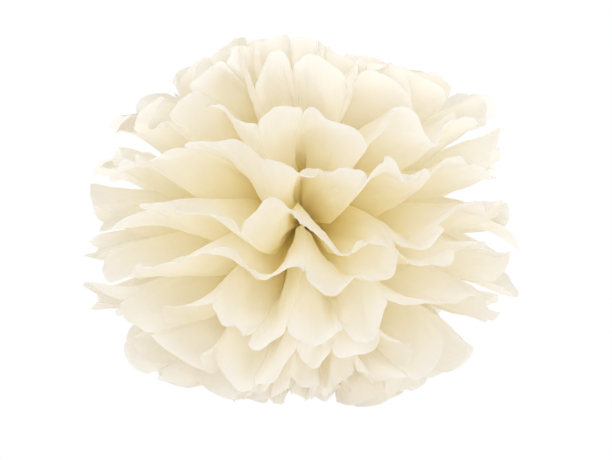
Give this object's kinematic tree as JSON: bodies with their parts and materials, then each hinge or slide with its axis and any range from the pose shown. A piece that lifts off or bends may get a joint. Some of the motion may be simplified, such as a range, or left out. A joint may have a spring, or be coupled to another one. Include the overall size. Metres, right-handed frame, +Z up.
{
  "type": "tissue paper pom pom",
  "caption": "Hanging tissue paper pom pom: sheets pleated together, tied round the middle with wire, fanned out and pulled apart into a full, petalled ball.",
  "frame": {"origin": "middle of the tied waist, inside the wire tie", "axes": "+Z up, the way the ball hangs from its wire tie; the pleats run along Y through the waist, the front fan opens towards -Y and the back fan towards +Y, and their free ends meet at +X and -X"},
  "size_m": [0.3305, 0.335, 0.2847],
  "materials": {
    "tissue": "matte cream tissue paper",
    "wire": "plain florist wire"
  },
  "bodies": {
    "root": {"sheet_01": "tissue", "sheet_02": "tissue", "sheet_03": "tissue", "sheet_04": "tissue", "sheet_05": "tissue", "sheet_06": "tissue", "sheet_07": "tissue", "sheet_08": "tissue", "sheet_09": "tissue", "sheet_10": "tissue", "wire_tie": "wire"}
  },
  "joints": []
}
